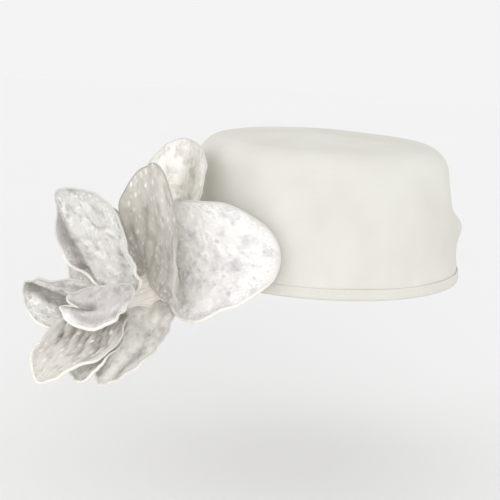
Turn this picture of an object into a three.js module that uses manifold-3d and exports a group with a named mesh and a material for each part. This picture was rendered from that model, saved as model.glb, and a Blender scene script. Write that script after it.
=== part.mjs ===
// A pillbox fascinator: a small moulded ivory crown with one large wired cloth flower low on its side.
// Lengths are millimetres and angles are degrees. The origin is the middle of the head opening at the rim,
// +Z is up the crown, -Y is the front of the hat, and the flower sits at its -X side, towards the front.
import * as THREE from 'three';
import { mergeVertices } from 'three/addons/utils/BufferGeometryUtils.js';
import Module from 'manifold-3d';

// Crown: a round shell, drawn out a little from front to back, with a leaning wall and a soft top edge
const RIM_HALF_WIDTH = 76;
const RIM_HALF_DEPTH = 80;
const CROWN_HEIGHT = 68;
const WALL_LEAN_IN = 11.5;
const TOP_EDGE_RADIUS = 15;
const TOP_EDGE_TURN = 84;
const TOP_DOME = 3;
const CROWN_CLOTH = 2.4;
const CROWN_SEGMENTS = 56;
const WALL_STEPS = 8;
const TOP_EDGE_STEPS = 5;
const TOP_STEPS = 4;

// Turned hem along the rim
const HEM_HEIGHT = 5;
const HEM_STANDS_OUT = 0.7;
const HEM_ROUNDING = 1;

// Soft fold in the cloth at the crown's right side, a little behind the middle
const FOLD_DIRECTION = 14;
const FOLD_HEIGHT = 25;
const FOLD_REACH = 7.5;
const FOLD_HALF_TALL = 8;
const FOLD_HALF_WIDE = 18;

// Flower: its middle, the way that it faces, and the covered button that is sewn to the crown's wall
const FLOWER_MIDDLE = new THREE.Vector3(-77, -46, -2);
const FLOWER_FACES = new THREE.Vector3(-0.8, -0.58, -0.12).normalize();
const FLOWER_UP = new THREE.Vector3(0, 0, 1);
const BUTTON_RADIUS = 14;
const BUTTON_BACK = -16;
const BUTTON_FRONT = -5;
const BUTTON_EDGE = 4;
const BUTTON_SEGMENTS = 28;
const SEWN_GAP = 0.3;

// Gathered throat of cloth from the button to the inner petals, hanging slack underneath
const THROAT_RADIUS = 8;
const THROAT_END_RADIUS = 5;
const THROAT_END = 24;
const THROAT_CAP = 6.6;
const THROAT_SLACK = 3;
const THROAT_STEPS = 6;

// Petals: cloth with a wire in its rolled edge. Each row is one petal.
// tier: outer petals start at the button, inner petals at the throat's end
// clock: its direction round the flower from straight up, turning towards the hat's front
// ring, aside, height: where its foot is, out from the flower's middle, sideways, and the way it faces
// lift, curl: how far its foot leans out of the flower's plane, and how far that turns by the tip
// length, width: its cut size; foot, tip: how narrow its ends are (0.5 is round, more is pointed)
// cup: how far it is rolled across; roll: its turn about its own length; sway: its tip's shift sideways
// ruffle, waves: the size and number of the waves along its edge
const PETAL_CLOTH = 1.4;
const WIRED_EDGE = 2.4;
const PETAL_SECTORS = 28;
const FLAT_RINGS = [0, 0.45, 0.78, 0.94];
const WIRE_RING = 0.97;
const TIER_MIDDLE = {
  outer: new THREE.Vector3(0, 0, 0),
  inner: new THREE.Vector3(0, -6, 24),
};
const PETAL_COLUMNS = [
  'name', 'tier', 'clock', 'ring', 'aside', 'height', 'lift', 'curl', 'length', 'width',
  'foot', 'tip', 'cup', 'roll', 'sway', 'ruffle', 'waves',
];
const PETAL_ROWS = [
  ['petal_front', 'outer', 61, 6.5, 0, 4.5, -8, -46, 68, 58, 0.27, 0.48, 15, 0, 9, 1.0, 3],
  ['petal_top', 'outer', -2, 8.5, 4.5, -2, -9, -22, 61.5, 46, 0.8, 0.5, 30, -10, -8, 1.5, 3],
  ['petal_shade', 'outer', 42, 4.2, 3.4, 9.6, 2, -8, 52, 56, 0.62, 0.8, 26, -5, -32, 1.5, 4],
  ['petal_hem', 'outer', 176, 10.9, 2.4, 4, 44, -10, 51, 46, 0.24, 0.65, 25, 20, 9, 1.5, 4],
  ['petal_back', 'outer', 278, 7.5, 0, 1, 10, -8, 58, 62, 0.55, 0.5, 34, 0, 0, 1.5, 3],
  ['petal_upper', 'inner', 13, 4, 1.2, 2.8, 20, -8, 55, 43, 0.38, 0.32, 25, -30, -15, 1.5, 4],
  ['petal_far', 'inner', 306, 5.8, 0, -2.4, 14, -4, 44, 46, 0.5, 0.45, 30, 0, 0, 1.5, 3],
  ['petal_left', 'inner', 252, 5.6, 0, 0, 42, 0, 50, 32.5, 0.6, 0.45, 68, 0, 9, 1.0, 3],
  ['petal_lower', 'inner', 163, 4.2, 0, 2.9, 57, -12, 46, 39, 0.5, 0.6, 30, 32, 33, 1.5, 4],
  ['petal_under', 'inner', 182, 6.5, -2.5, -2, 44, -6, 43, 31, 0.95, 0.5, 20, 3, 8, 1.5, 3],
  ['petal_throat', 'inner', 138, -4.2, -6.8, 7.2, 40, -10, 24, 42, 0.4, 0.4, 40, 45, 0, 1.0, 3],
];

// Comb sewn inside the rim at the front, its teeth lying in the plane of the rim
const COMB_HALF_ANGLE = 20;
const COMB_SPINE = 4;
const COMB_TEETH = 11;
const TOOTH_LENGTH = 24;
const TOOTH_WIDTH = 1.8;
const COMB_THICKNESS = 1.8;
const COMB_BOTTOM = 0.6;
const COMB_CURVE_STEPS = 10;

// Finishes
const IVORY_CLOTH = { color: 0xe9e4d6, roughness: 0.85, metalness: 0 };
const BEIGE_CLOTH = { color: 0xd8d2c4, roughness: 0.9, metalness: 0 };
const SILVER_BROCADE = { color: 0xdcd9d4, roughness: 0.55, metalness: 0 };
const HORN_PLASTIC = { color: 0xd9cfb8, roughness: 0.35, metalness: 0 };

const radians = THREE.MathUtils.degToRad;
const lerp = THREE.MathUtils.lerp;
const clamp = THREE.MathUtils.clamp;
const wasm = await Module();
wasm.setup();

function namedMesh(name, geometry, finish) {
  const mesh = new THREE.Mesh(geometry, new THREE.MeshStandardMaterial(finish));
  mesh.name = name;
  return mesh;
}

// A closed geometry as a solid that can be cut, and back again
function toSolid(geometry) {
  const bare = geometry.clone();
  bare.deleteAttribute('normal');
  bare.deleteAttribute('uv');
  const merged = mergeVertices(bare);
  const vertProperties = new Float32Array(merged.attributes.position.array);
  const triVerts = new Uint32Array(merged.index.array);
  return new wasm.Manifold(new wasm.Mesh({ numProp: 3, vertProperties, triVerts }));
}

function toGeometry(solid) {
  const mesh = solid.getMesh();
  const geometry = new THREE.BufferGeometry();
  geometry.setAttribute('position', new THREE.BufferAttribute(mesh.vertProperties, 3));
  geometry.setIndex(new THREE.BufferAttribute(mesh.triVerts, 1));
  geometry.computeVertexNormals();
  return geometry;
}

// Calls a function with each vertex and puts the vertex where the function leaves it
function moveVertices(geometry, move) {
  const place = geometry.attributes.position;
  const point = new THREE.Vector3();
  for (let index = 0; index < place.count; index += 1) {
    point.fromBufferAttribute(place, index);
    move(point);
    place.setXYZ(index, point.x, point.y, point.z);
  }
}

// A round body about Z from points of its section, each out from the axis and along it
function latheOnZ(section, segments) {
  const points = section.map(([out, along]) => new THREE.Vector2(out, along));
  return new THREE.LatheGeometry(points, segments).rotateX(Math.PI / 2);
}

const wallLean = Math.atan2(WALL_LEAN_IN, CROWN_HEIGHT);

function wallRadius(height) {
  return RIM_HALF_WIDTH - Math.tan(wallLean) * height;
}

// One side of the crown's section, from near the rim up to the middle of the top, drawn in by an inset
function crownSection(inset, fromHeight) {
  const edgeRadius = TOP_EDGE_RADIUS - inset;
  const edgeMiddleHeight = CROWN_HEIGHT - TOP_EDGE_RADIUS;
  const edgeStartHeight = edgeMiddleHeight + TOP_EDGE_RADIUS * Math.sin(wallLean);
  const edgeMiddle = wallRadius(edgeStartHeight) - TOP_EDGE_RADIUS * Math.cos(wallLean);
  const section = [];
  for (let step = 0; step < WALL_STEPS; step += 1) {
    const height = lerp(fromHeight, edgeStartHeight, step / WALL_STEPS);
    section.push([wallRadius(height) - inset, height]);
  }
  for (let step = 0; step <= TOP_EDGE_STEPS; step += 1) {
    const turn = lerp(wallLean, radians(TOP_EDGE_TURN), step / TOP_EDGE_STEPS);
    const out = edgeMiddle + edgeRadius * Math.cos(turn);
    section.push([out, edgeMiddleHeight + edgeRadius * Math.sin(turn)]);
  }
  const [topOut, topHeight] = section[section.length - 1];
  for (let step = 1; step <= TOP_STEPS; step += 1) {
    const share = 1 - step / TOP_STEPS;
    section.push([topOut * share, topHeight + TOP_DOME * (1 - share * share)]);
  }
  return section;
}

// Draws a round body out from front to back, as the rim is
function drawOut(geometry) {
  return geometry.scale(1, RIM_HALF_DEPTH / RIM_HALF_WIDTH, 1);
}

function pushOutFold(point) {
  const direction = THREE.MathUtils.radToDeg(Math.atan2(point.y, point.x));
  const beside = (direction - FOLD_DIRECTION) / FOLD_HALF_WIDE;
  const above = (point.z - FOLD_HEIGHT) / FOLD_HALF_TALL;
  point.x += FOLD_REACH * Math.exp(-beside * beside - above * above);
}

// The crown is one shell: its section runs down the inside, round the hem and up the outside
function crown() {
  const inside = crownSection(CROWN_CLOTH, 0).reverse();
  const hem = [
    [wallRadius(0), 0],
    [wallRadius(HEM_ROUNDING) + HEM_STANDS_OUT, HEM_ROUNDING],
    [wallRadius(HEM_HEIGHT) + HEM_STANDS_OUT, HEM_HEIGHT - HEM_STANDS_OUT],
  ];
  const outside = crownSection(0, HEM_HEIGHT);
  const geometry = drawOut(latheOnZ([...inside, ...hem, ...outside], CROWN_SEGMENTS));
  moveVertices(geometry, pushOutFold);
  return namedMesh('crown', geometry, IVORY_CLOTH);
}

// The flower's frame: Z is the way that it faces, and Y is as near straight up as it can be
function flowerFrame() {
  const towardsFront = new THREE.Vector3().crossVectors(FLOWER_UP, FLOWER_FACES).normalize();
  const up = new THREE.Vector3().crossVectors(FLOWER_FACES, towardsFront);
  return new THREE.Matrix4().makeBasis(towardsFront, up, FLOWER_FACES).setPosition(FLOWER_MIDDLE);
}

// Leans the throat down to the inner petals, and lets its underside hang slack between its two ends
function hangThroat(point) {
  const share = clamp((point.z - BUTTON_FRONT) / (THROAT_END - BUTTON_FRONT), 0, 1);
  const out = Math.hypot(point.x, point.y);
  const below = out > 0 ? Math.max(-point.y / out, 0) : 0;
  const slack = THROAT_SLACK * Math.sin(Math.PI * share) * below;
  point.y += TIER_MIDDLE.inner.y * share - slack;
}

// The button with its gathered throat, its back cut to the slant of the crown's wall
function flowerBase() {
  const section = [
    [0, BUTTON_BACK],
    [BUTTON_RADIUS, BUTTON_BACK],
    [BUTTON_RADIUS, BUTTON_FRONT - BUTTON_EDGE],
    [BUTTON_RADIUS - BUTTON_EDGE, BUTTON_FRONT],
  ];
  for (let step = 0; step <= THROAT_STEPS; step += 1) {
    const share = step / THROAT_STEPS;
    section.push([lerp(THROAT_RADIUS, THROAT_END_RADIUS, share), lerp(BUTTON_FRONT, THROAT_END, share)]);
  }
  const slant = THROAT_END_RADIUS * Math.SQRT1_2;
  section.push([slant, THROAT_END + slant], [0, THROAT_END + THROAT_CAP]);
  const base = latheOnZ(section, BUTTON_SEGMENTS);
  moveVertices(base, hangThroat);
  base.applyMatrix4(flowerFrame());
  const clear = HEM_STANDS_OUT + SEWN_GAP;
  const wallSection = [
    [0, -CROWN_HEIGHT],
    [wallRadius(-CROWN_HEIGHT) + clear, -CROWN_HEIGHT],
    [wallRadius(CROWN_HEIGHT) + clear, CROWN_HEIGHT],
    [0, CROWN_HEIGHT],
  ];
  const wall = drawOut(latheOnZ(wallSection, CROWN_SEGMENTS));
  const seated = toSolid(base).subtract(toSolid(wall));
  return namedMesh('flower_base', toGeometry(seated), BEIGE_CLOTH);
}

// Half of a petal's width, as a share of its widest, at a share of its length
function petalOutline(petal, share) {
  const widest = petal.foot / (petal.foot + petal.tip);
  const most = widest ** petal.foot * (1 - widest) ** petal.tip;
  return (share ** petal.foot * (1 - share) ** petal.tip) / most;
}

// The middle of a petal's cloth at a place on a unit disc, x across and y from foot to tip.
// In the petal's own frame Y is out from the flower's middle and Z is the way that the flower faces.
function petalPoint(petal, x, y) {
  const nearZero = 1e-6;
  const share = clamp((y + 1) / 2, 0, 1);
  const discHalf = Math.sqrt(Math.max(1 - y * y, nearZero));
  const across = clamp(x / discHalf, -1, 1);
  const cupRadius = petal.width / 2 / radians(petal.cup);
  const cupped = ((petal.width / 2) * petalOutline(petal, share) * across) / cupRadius;
  const round = Math.atan2(x, y);
  const wave = petal.ruffle * Math.hypot(x, y) ** 3 * Math.cos(petal.waves * round + radians(petal.clock));
  const flatAside = cupRadius * Math.sin(cupped);
  const flatRise = cupRadius * (1 - Math.cos(cupped)) + wave;
  const roll = radians(petal.roll);
  const rolledAside = flatAside * Math.cos(roll) - flatRise * Math.sin(roll);
  const rise = flatRise * Math.cos(roll) + flatAside * Math.sin(roll);
  const lift = radians(petal.lift);
  const curl = radians(petal.curl) || nearZero;
  const lean = lift + curl * share;
  const bendRadius = petal.length / curl;
  const aside = petal.aside + rolledAside + petal.sway * share * share;
  const out = petal.ring + bendRadius * (Math.sin(lean) - Math.sin(lift)) - rise * Math.sin(lean);
  const up = petal.height + bendRadius * (Math.cos(lift) - Math.cos(lean)) + rise * Math.cos(lean);
  return new THREE.Vector3(aside, out, up);
}

// The way that the cloth faces there, measured a little inside the edge
function petalNormal(petal, x, y) {
  const step = 0.02;
  const [nearX, nearY] = [x * WIRE_RING, y * WIRE_RING];
  const across = petalPoint(petal, nearX + step, nearY).sub(petalPoint(petal, nearX - step, nearY));
  const along = petalPoint(petal, nearX, nearY + step).sub(petalPoint(petal, nearX, nearY - step));
  return across.cross(along).normalize();
}

// A petal is a thin round lens with a rolled edge, bent so that its disc follows the petal's cloth
function petalMesh(petal) {
  const under = [...FLAT_RINGS.map((ring) => [ring, -PETAL_CLOTH / 2]), [WIRE_RING, -WIRED_EDGE / 2]];
  const face = under.map(([ring, thick]) => [ring, -thick]).reverse();
  const geometry = latheOnZ([...under, [1, 0], ...face], PETAL_SECTORS);
  moveVertices(geometry, (point) => {
    const bent = petalPoint(petal, point.x, point.y);
    point.copy(bent.addScaledVector(petalNormal(petal, point.x, point.y), point.z));
  });
  const mesh = namedMesh(petal.name, geometry, SILVER_BROCADE);
  mesh.rotation.z = -radians(petal.clock);
  mesh.position.copy(TIER_MIDDLE[petal.tier]);
  return mesh;
}

function flower() {
  const group = new THREE.Group();
  flowerFrame().decompose(group.position, group.quaternion, group.scale);
  for (const row of PETAL_ROWS) {
    const petal = Object.fromEntries(PETAL_COLUMNS.map((column, place) => [column, row[place]]));
    group.add(petalMesh(petal));
  }
  return group;
}

// The comb: a curved spine that follows the inside of the rim, with straight teeth towards the middle
function comb() {
  const spineOut = RIM_HALF_DEPTH - CROWN_CLOTH - HEM_STANDS_OUT - SEWN_GAP * 2;
  const spineIn = spineOut - COMB_SPINE;
  const half = radians(COMB_HALF_ANGLE);
  const shape = new THREE.Shape();
  shape.absarc(0, 0, spineOut, -half, half, false);
  for (let tooth = COMB_TEETH - 1; tooth >= 0; tooth -= 1) {
    const turn = half * ((2 * tooth + 1) / COMB_TEETH - 1);
    const way = new THREE.Vector2(Math.cos(turn), Math.sin(turn));
    const aside = new THREE.Vector2(-way.y, way.x).multiplyScalar(TOOTH_WIDTH / 2);
    const root = way.clone().multiplyScalar(spineIn);
    const end = way.clone().multiplyScalar(spineIn - TOOTH_LENGTH);
    const point = way.clone().multiplyScalar(spineIn - TOOTH_LENGTH - TOOTH_WIDTH);
    shape.lineTo(root.x + aside.x, root.y + aside.y);
    shape.lineTo(end.x + aside.x, end.y + aside.y);
    shape.lineTo(point.x, point.y);
    shape.lineTo(end.x - aside.x, end.y - aside.y);
    shape.lineTo(root.x - aside.x, root.y - aside.y);
  }
  shape.closePath();
  const options = { depth: COMB_THICKNESS, bevelEnabled: false, curveSegments: COMB_CURVE_STEPS };
  const mesh = namedMesh('comb', new THREE.ExtrudeGeometry(shape, options), HORN_PLASTIC);
  mesh.rotation.z = -Math.PI / 2;
  mesh.position.z = COMB_BOTTOM;
  return mesh;
}

const fascinator = new THREE.Group();
fascinator.add(crown(), flowerBase(), flower(), comb());

export default fascinator;
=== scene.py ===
import math
from types import SimpleNamespace

import bmesh
import bpy
import numpy as np
from mathutils import Matrix, Quaternion, Vector, noise


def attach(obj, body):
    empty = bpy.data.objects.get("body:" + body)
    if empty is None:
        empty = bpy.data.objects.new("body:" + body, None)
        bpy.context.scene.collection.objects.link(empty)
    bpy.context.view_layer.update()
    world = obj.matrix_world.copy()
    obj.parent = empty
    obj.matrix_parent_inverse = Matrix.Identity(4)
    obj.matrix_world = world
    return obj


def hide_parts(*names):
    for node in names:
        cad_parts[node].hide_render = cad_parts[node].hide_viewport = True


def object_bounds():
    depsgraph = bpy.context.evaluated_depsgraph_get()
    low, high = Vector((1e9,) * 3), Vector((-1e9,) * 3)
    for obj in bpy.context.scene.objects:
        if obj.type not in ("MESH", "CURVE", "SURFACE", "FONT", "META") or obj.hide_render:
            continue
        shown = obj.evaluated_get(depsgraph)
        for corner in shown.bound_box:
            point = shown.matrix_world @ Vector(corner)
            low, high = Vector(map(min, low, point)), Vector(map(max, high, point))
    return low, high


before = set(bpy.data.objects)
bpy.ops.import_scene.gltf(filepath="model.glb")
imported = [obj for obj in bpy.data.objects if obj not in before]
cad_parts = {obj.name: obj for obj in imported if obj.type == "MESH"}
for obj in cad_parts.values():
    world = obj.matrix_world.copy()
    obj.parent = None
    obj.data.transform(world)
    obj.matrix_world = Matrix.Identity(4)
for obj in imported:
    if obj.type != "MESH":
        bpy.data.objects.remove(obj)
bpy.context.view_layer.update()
MM = 0.001

# Crown. The hat's body is one round of ivory cloth, moulded over a block while damp and stiffened
# as it dried: a leaning wall, a soft top edge, a slightly domed top, and one soft fold low on the
# right side. It is open below, where the head goes in.
RIM_HALF_WIDTH = 76 * MM
RIM_HALF_DEPTH = 80 * MM
CROWN_HEIGHT = 68 * MM
WALL_LEANS_IN = 11.5 * MM
WALL_LEAN = math.atan2(WALL_LEANS_IN, CROWN_HEIGHT)
TOP_EDGE_RADIUS = 15 * MM
TOP_EDGE_TURN = math.radians(84)
TOP_DOME = 3 * MM
CROWN_CLOTH = 2.4 * MM
BEHIND = -1
CROWN_AROUND = 144
TOP_STEPS = 22
TOP_EDGE_STEPS = 12
WALL_STEPS = 26
FOLD_DIRECTION = math.radians(14)
FOLD_HEIGHT = 25 * MM
FOLD_REACH = 7.5 * MM
FOLD_HALF_TALL = 8 * MM
FOLD_HALF_WIDE = math.radians(18)
UNEVEN_SIZE = 34 * MM
UNEVEN_DEPTH = 0.4 * MM
CROWN_THREAD = 0.75 * MM
CROWN_GRAIN_TURN = 0.4
IVORY_SHADE = (217, 215, 206)
IVORY_LIGHT = (225, 224, 216)
IVORY_ROUGHNESS = 0.9
IVORY_GLOSS = 0.15
IVORY_PATCHES = 22
IVORY_SLUBS = (90, 900, 1)
PATCHES_TELL = 0.85
SLUBS_TELL = 0.15
IVORY_EMBOSS = 0.16
IVORY_RELIEF = 0.12 * MM
NOISE_MOSTLY = (0.35, 0.65)
NOISE_ROUGHNESS = 0.55
SHEEN_ROUGHNESS = 0.4
WAVE_PITCH = math.pi / 10
WAVE_UNEVEN = 1.2
MERGE = 0.01 * MM


def wall_out(height):
    """How far the crown's wall is from the middle line at a height above the rim, at the sides."""
    return RIM_HALF_WIDTH - math.tan(WALL_LEAN) * height


def crown_section():
    """Points of the crown's section, out and up, from the middle of its top down to the rim."""
    middle_height = CROWN_HEIGHT - TOP_EDGE_RADIUS
    start_height = middle_height + TOP_EDGE_RADIUS * math.sin(WALL_LEAN)
    middle_out = wall_out(start_height) - TOP_EDGE_RADIUS * math.cos(WALL_LEAN)
    top_out = middle_out + TOP_EDGE_RADIUS * math.cos(TOP_EDGE_TURN)
    top_height = middle_height + TOP_EDGE_RADIUS * math.sin(TOP_EDGE_TURN)
    points = []
    for step in range(TOP_STEPS):
        share = step / TOP_STEPS
        points.append((top_out * share, top_height + TOP_DOME * (1 - share * share)))
    for step in range(TOP_EDGE_STEPS):
        turn = TOP_EDGE_TURN + (WALL_LEAN - TOP_EDGE_TURN) * step / TOP_EDGE_STEPS
        out = middle_out + TOP_EDGE_RADIUS * math.cos(turn)
        points.append((out, middle_height + TOP_EDGE_RADIUS * math.sin(turn)))
    for step in range(WALL_STEPS + 1):
        height = start_height * (1 - step / WALL_STEPS)
        points.append((wall_out(height), height))
    return points


def draw_section(bm, points):
    """Draws a line through points, out and up, in a mesh, and keeps how far along it each of them is."""
    walked = bm.verts.layers.float.new("walked")
    so_far = 0
    last = None
    for out, up in points:
        vert = bm.verts.new((out, 0, up))
        if last is not None:
            so_far += (vert.co - last.co).length
            bm.edges.new((last, vert))
        vert[walked] = so_far
        last = vert
    return walked


def spin_round(bm):
    """Turns the section drawn in a mesh once round the upright line, and closes its seam and middle."""
    section = bm.verts[:] + bm.edges[:]
    bmesh.ops.spin(
        bm, geom=section, cent=(0, 0, 0), axis=(0, 0, 1), angle=math.tau, steps=CROWN_AROUND, use_merge=True
    )
    bmesh.ops.remove_doubles(bm, verts=bm.verts, dist=MERGE)
    bmesh.ops.recalc_face_normals(bm, faces=bm.faces)


def draw_out(bm):
    """Draws a round mesh out from front to back, as the rim is."""
    bmesh.ops.scale(bm, vec=(1, RIM_HALF_DEPTH / RIM_HALF_WIDTH, 1), verts=bm.verts)


def fold_reach(place):
    """How far the soft fold pushes the cloth out at a place on the crown."""
    beside = (math.atan2(place.y, place.x) - FOLD_DIRECTION) / FOLD_HALF_WIDE
    above = (place.z - FOLD_HEIGHT) / FOLD_HALF_TALL
    return FOLD_REACH * math.exp(-beside * beside - above * above)


def finish_piece(bm, name, material):
    """Makes the mesh an object of the hat, with its finish, that goes with the hat's one body."""
    mesh = bpy.data.meshes.new(name)
    bm.to_mesh(mesh)
    bm.free()
    mesh.materials.append(material)
    mesh.shade_smooth()
    piece = bpy.data.objects.new(name, mesh)
    bpy.context.scene.collection.objects.link(piece)
    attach(piece, "root")
    return piece


def thicken(piece, thickness, side):
    """Gives a sheet its thickness, on the side of it that is told."""
    wall = piece.modifiers.new("thickness", "SOLIDIFY")
    wall.thickness = thickness
    wall.offset = side


def dye(colour):
    """A colour as the eye counts it, 0 to 255, as the light that a shader works with."""
    light = []
    for part in colour:
        share = part / 255
        light.append(share / 12.92 if share <= 0.04045 else ((share + 0.055) / 1.055) ** 2.4)
    return (*light, 1)


def add_node(tree, kind, inputs, **settings):
    """A shader node with its settings, each input set to a value or joined to another node."""
    node = tree.nodes.new(kind)
    for name, value in settings.items():
        setattr(node, name, value)
    for name, value in inputs.items():
        if isinstance(value, bpy.types.NodeSocket):
            tree.links.new(value, node.inputs[name])
        else:
            node.inputs[name].default_value = value
    return node


def new_finish(name, roughness, sheen):
    """A new material with its node tree and its shader."""
    material = bpy.data.materials.new(name)
    material.use_nodes = True
    shader = material.node_tree.nodes["Principled BSDF"]
    shader.inputs["Roughness"].default_value = roughness
    shader.inputs["Sheen Weight"].default_value = sheen
    shader.inputs["Sheen Roughness"].default_value = SHEEN_ROUGHNESS
    return material, material.node_tree, shader


def mix_colours(tree, share, first, second):
    """The first colour where the share is 0, the second where it is 1."""
    return add_node(tree, "ShaderNodeMix", {0: share, 6: first, 7: second}, data_type="RGBA").outputs[2]


def paint(tree, shader, share, first, second):
    """Gives the shader the first colour where the share is 0, the second where it is 1."""
    tree.links.new(mix_colours(tree, share, first, second), shader.inputs["Base Color"])


def span(tree, value, low, high, to_low, to_high):
    """A value taken from one span to another, and held at the ends of it."""
    inputs = {"Value": value, "From Min": low, "From Max": high, "To Min": to_low, "To Max": to_high}
    return add_node(tree, "ShaderNodeMapRange", inputs).outputs["Result"]


def combine(tree, operation, first, second):
    """Two values put together by a sum, a product or the like."""
    return add_node(tree, "ShaderNodeMath", {0: first, 1: second}, operation=operation).outputs[0]


def blend(tree, first, first_tells, second, second_tells):
    """The sum of two values, each as much as it tells."""
    first_part = combine(tree, "MULTIPLY", first, first_tells)
    second_part = combine(tree, "MULTIPLY", second, second_tells)
    return combine(tree, "ADD", first_part, second_part)


def cut_place(tree, scale=(1, 1, 1), turn=0):
    """The place on the flat cut cloth, which every cloth piece keeps in metres, scaled and turned."""
    flat = add_node(tree, "ShaderNodeUVMap", {}, uv_map="cut")
    inputs = {"Vector": flat.outputs["UV"], "Rotation": (0, 0, turn), "Scale": scale}
    return add_node(tree, "ShaderNodeMapping", inputs).outputs["Vector"]


def speckle(tree, place, scale, detail):
    """Soft noise over a place."""
    inputs = {"Vector": place, "Scale": scale, "Detail": detail, "Roughness": NOISE_ROUGHNESS}
    return add_node(tree, "ShaderNodeTexNoise", inputs).outputs["Fac"]


def weave(tree, pitch, turn=0):
    """The height of a plain weave, one wave for each way that the threads run, a little uneven."""
    place = cut_place(tree, turn=turn)
    waves = []
    for way in ("X", "Y"):
        inputs = {"Vector": place, "Scale": WAVE_PITCH / pitch, "Distortion": WAVE_UNEVEN, "Detail": 1}
        node = add_node(tree, "ShaderNodeTexWave", inputs, wave_type="BANDS", bands_direction=way)
        waves.append(node.outputs["Fac"])
    return combine(tree, "MAXIMUM", *waves)


def emboss(tree, shader, height, strength, distance):
    """Raises the surface's light and shade by a height."""
    bump = add_node(tree, "ShaderNodeBump", {"Strength": strength, "Distance": distance, "Height": height})
    tree.links.new(bump.outputs["Normal"], shader.inputs["Normal"])


def ivory_cloth(name, thread, turn):
    """Matte ivory cloth: a fine weave, slightly uneven in tone, as undyed cloth is."""
    material, tree, shader = new_finish(name, IVORY_ROUGHNESS, 0)
    shader.inputs["Specular IOR Level"].default_value = IVORY_GLOSS
    patches = speckle(tree, cut_place(tree, turn=turn), IVORY_PATCHES, detail=2)
    slubs = speckle(tree, cut_place(tree, IVORY_SLUBS, turn), 1, detail=2)
    tone = blend(tree, patches, PATCHES_TELL, slubs, SLUBS_TELL)
    paint(tree, shader, span(tree, tone, *NOISE_MOSTLY, 0, 1), dye(IVORY_SHADE), dye(IVORY_LIGHT))
    raised = combine(tree, "ADD", weave(tree, thread, turn), slubs)
    emboss(tree, shader, raised, IVORY_EMBOSS, IVORY_RELIEF)
    return material


bm = bmesh.new()
from_middle = draw_section(bm, crown_section())
spin_round(bm)
cut = bm.loops.layers.uv.new("cut")
for face in bm.faces:
    for loop in face.loops:
        around = math.atan2(loop.vert.co.y, loop.vert.co.x)
        away = loop.vert[from_middle]
        loop[cut].uv = (away * math.cos(around), away * math.sin(around))
draw_out(bm)
bm.normal_update()
for vert in bm.verts:
    uneven = UNEVEN_DEPTH * noise.noise(vert.co / UNEVEN_SIZE)
    vert.co += vert.normal * uneven
    vert.co.x += fold_reach(vert.co)
crown_finish = ivory_cloth("ivory_cloth", CROWN_THREAD, CROWN_GRAIN_TURN)
crown_cloth = finish_piece(bm, "crown_cloth", crown_finish)
thicken(crown_cloth, CROWN_CLOTH, BEHIND)
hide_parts("crown")

# Hem. The rim is bound with a bias strip of the same ivory cloth, folded over the raw edge and
# sewn through with one row of small running stitches in ivory thread. The strip's section tells how
# far each point stands out from the wall, and how high it is, in millimetres.
HEM_SECTION = (
    (0.15, 5.4), (0.3, 3.6), (0.35, 1.6), (0.1, 0.3),
    (-1.0, -0.15), (-2.4, 0.2), (-2.85, 1.5), (-2.85, 6.2),
)
HEM_CLOTH = 0.35 * MM
HEM_THREAD = 0.6 * MM
HEM_BIAS = math.pi / 4
IN_FRONT = 1
STITCH_COUNT = 150
STITCH_HEIGHT = 3.9 * MM
STITCH_LENGTH = 2.0 * MM
STITCH_THICKNESS = 0.3 * MM
STITCH_STANDS_OUT = 0.68 * MM
THREAD_SHADE = (226, 220, 203)
THREAD_LIGHT = (244, 241, 230)
THREAD_ROUGHNESS = 0.6
THREAD_SHEEN = 0.2
THREAD_STRANDS = 2500
THREAD_EMBOSS = 0.3
THREAD_RELIEF = 0.1 * MM


def keep_round_cut(bm, radius, along):
    """Keeps where each corner lies on a flat cut in metres: round the middle line, and along the piece."""
    cut = bm.loops.layers.uv.new("cut")
    for face in bm.faces:
        turns = [math.atan2(loop.vert.co.y, loop.vert.co.x) for loop in face.loops]
        over_the_seam = max(turns) - min(turns) > math.pi
        for loop, turn in zip(face.loops, turns):
            if over_the_seam and turn < 0:
                turn += math.tau
            loop[cut].uv = (turn * radius, along(loop.vert))


def object_place(tree):
    """The place on the piece itself."""
    return add_node(tree, "ShaderNodeTexCoord", {}).outputs["Object"]


bm = bmesh.new()
hem_points = [(wall_out(height * MM) + stands_out * MM, height * MM) for stands_out, height in HEM_SECTION]
across_strip = draw_section(bm, hem_points)
spin_round(bm)
keep_round_cut(bm, RIM_HALF_WIDTH, lambda vert: vert[across_strip])
draw_out(bm)
hem_finish = ivory_cloth("hem_cloth", HEM_THREAD, HEM_BIAS)
hem = finish_piece(bm, "hem_strip", hem_finish)
thicken(hem, HEM_CLOTH, IN_FRONT)
rounding = hem.modifiers.new("rounding", "SUBSURF")
rounding.levels = 1
rounding.render_levels = 1

bm = bmesh.new()
stitch_out = wall_out(STITCH_HEIGHT) + STITCH_STANDS_OUT
to_wall = Matrix.Translation((stitch_out, 0, STITCH_HEIGHT))
stitch_size = Matrix.Diagonal((STITCH_THICKNESS, STITCH_LENGTH, STITCH_THICKNESS, 1))
for stitch in range(STITCH_COUNT):
    turned = Matrix.Rotation(math.tau * stitch / STITCH_COUNT, 4, "Z")
    bmesh.ops.create_icosphere(bm, subdivisions=2, radius=0.5, matrix=turned @ to_wall @ stitch_size)
draw_out(bm)
thread, tree, shader = new_finish("ivory_thread", THREAD_ROUGHNESS, THREAD_SHEEN)
strands = speckle(tree, object_place(tree), THREAD_STRANDS, detail=1)
paint(tree, shader, strands, dye(THREAD_SHADE), dye(THREAD_LIGHT))
emboss(tree, shader, strands, THREAD_EMBOSS, THREAD_RELIEF)
hem_stitches = finish_piece(bm, "hem_stitches", thread)

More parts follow.
